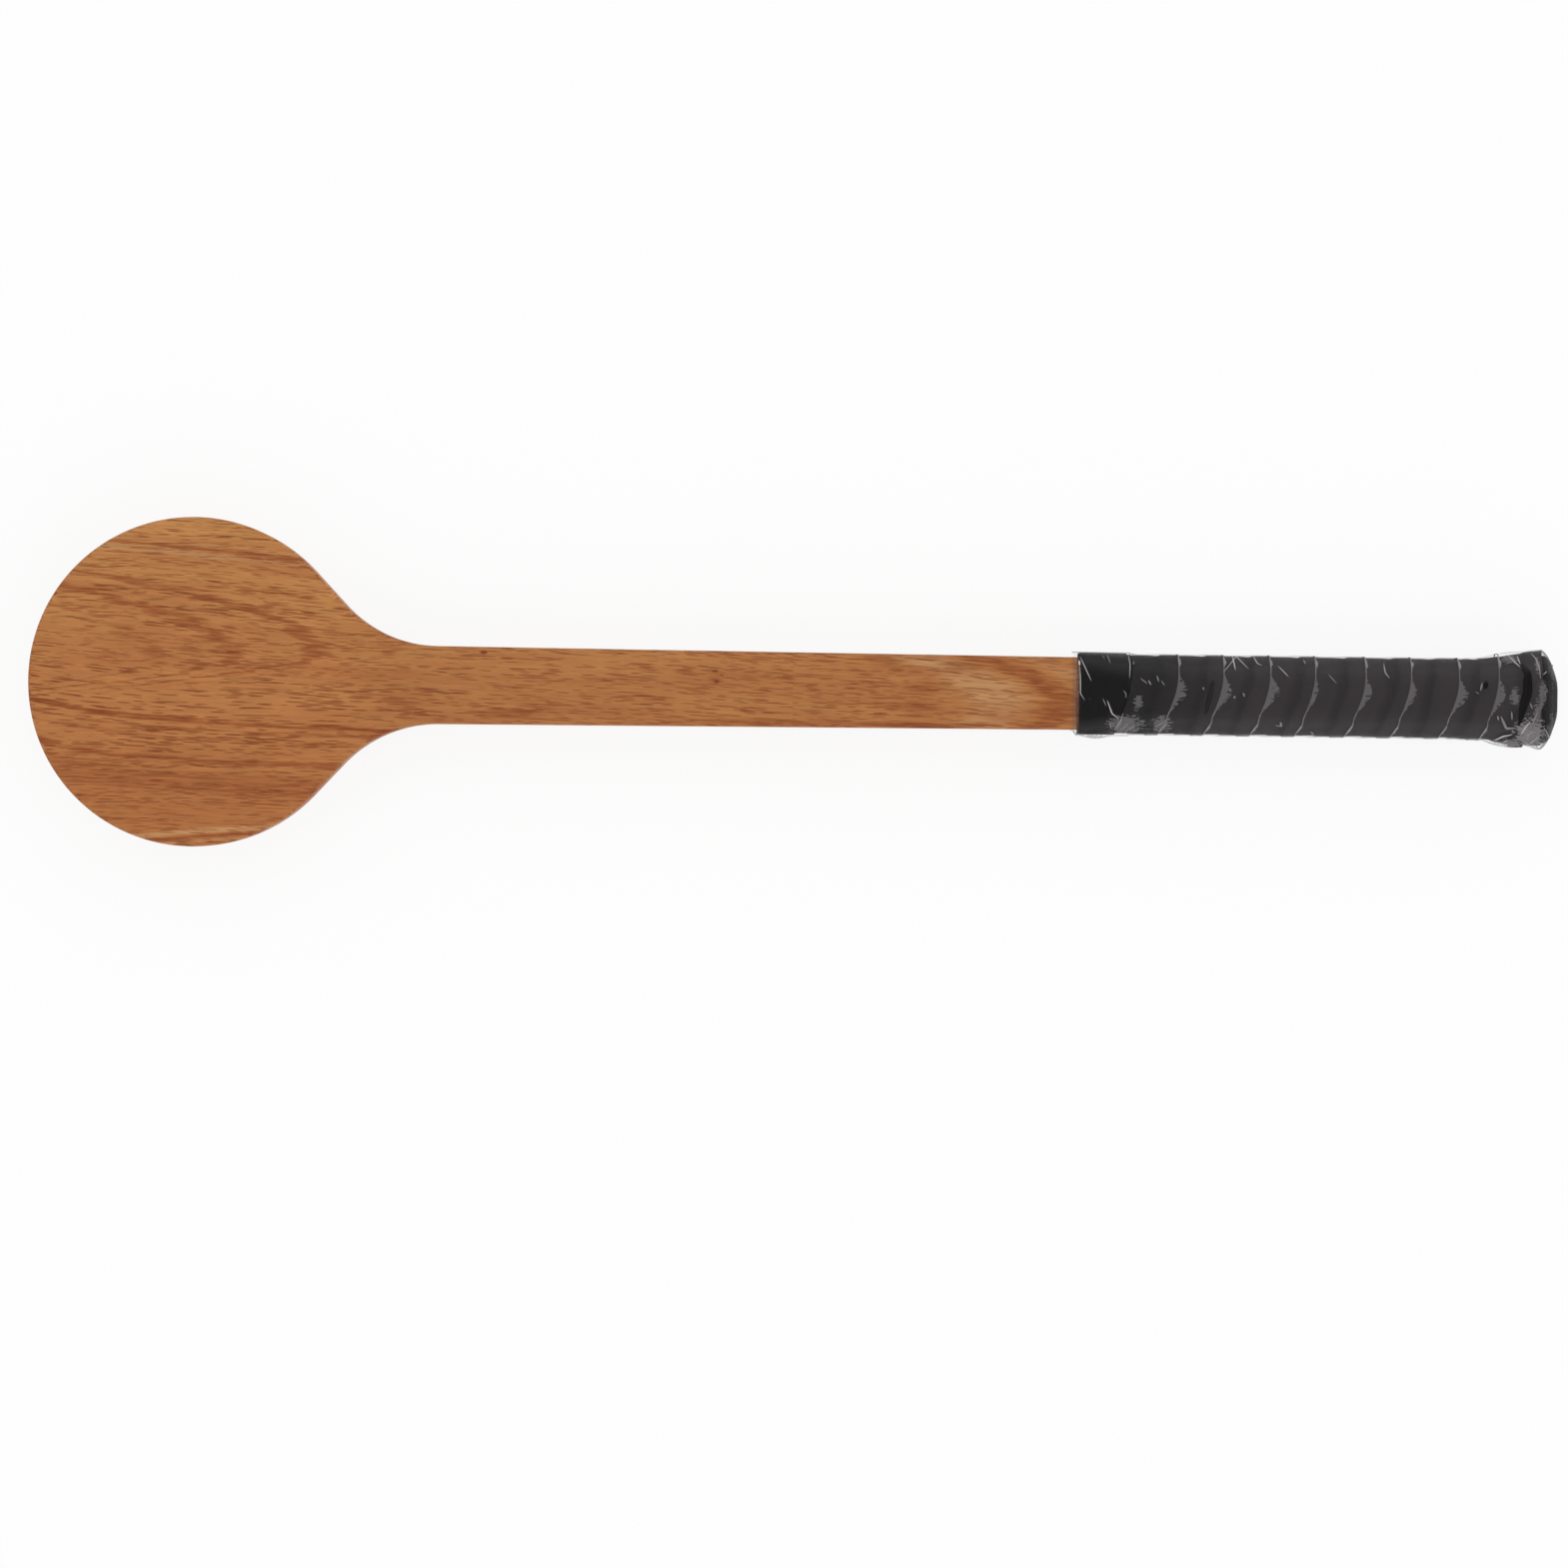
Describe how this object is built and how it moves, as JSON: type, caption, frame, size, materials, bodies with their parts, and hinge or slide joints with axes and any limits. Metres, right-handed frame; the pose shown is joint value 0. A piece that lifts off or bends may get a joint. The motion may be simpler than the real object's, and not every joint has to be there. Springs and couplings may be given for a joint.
{
  "type": "wooden tennis pointer",
  "caption": "Solid hardwood tennis training paddle: flat round head, slim shaft, lapped soft grip on a faceted handle with a flared butt cap, under clear film.",
  "frame": {"origin": "centre of the overall length, width and thickness", "axes": "+X along the pointer from the head to the butt, +Y across the board, +Z out of the striking face that the picture shows"},
  "size_m": [0.533, 0.1148, 0.0316],
  "materials": {
    "oak": "satin oiled open-grained hardwood, fine dark pores along the length",
    "cap_plastic": "moulded black nylon, fine satin",
    "staple_wire": "galvanised flat staple wire",
    "grip_strip": "soft matte black polyurethane",
    "vinyl_tape": "glossy black vinyl tape",
    "clear_film": "clear glossy shrink film"
  },
  "bodies": {
    "root": {"blade": "oak", "butt_cap": "cap_plastic", "cap_staple_front_near": "staple_wire", "cap_staple_front_far": "staple_wire", "cap_staple_back_near": "staple_wire", "cap_staple_back_far": "staple_wire", "grip_wrap": "grip_strip", "finishing_tape": "vinyl_tape", "grip_film": "clear_film"}
  },
  "joints": []
}
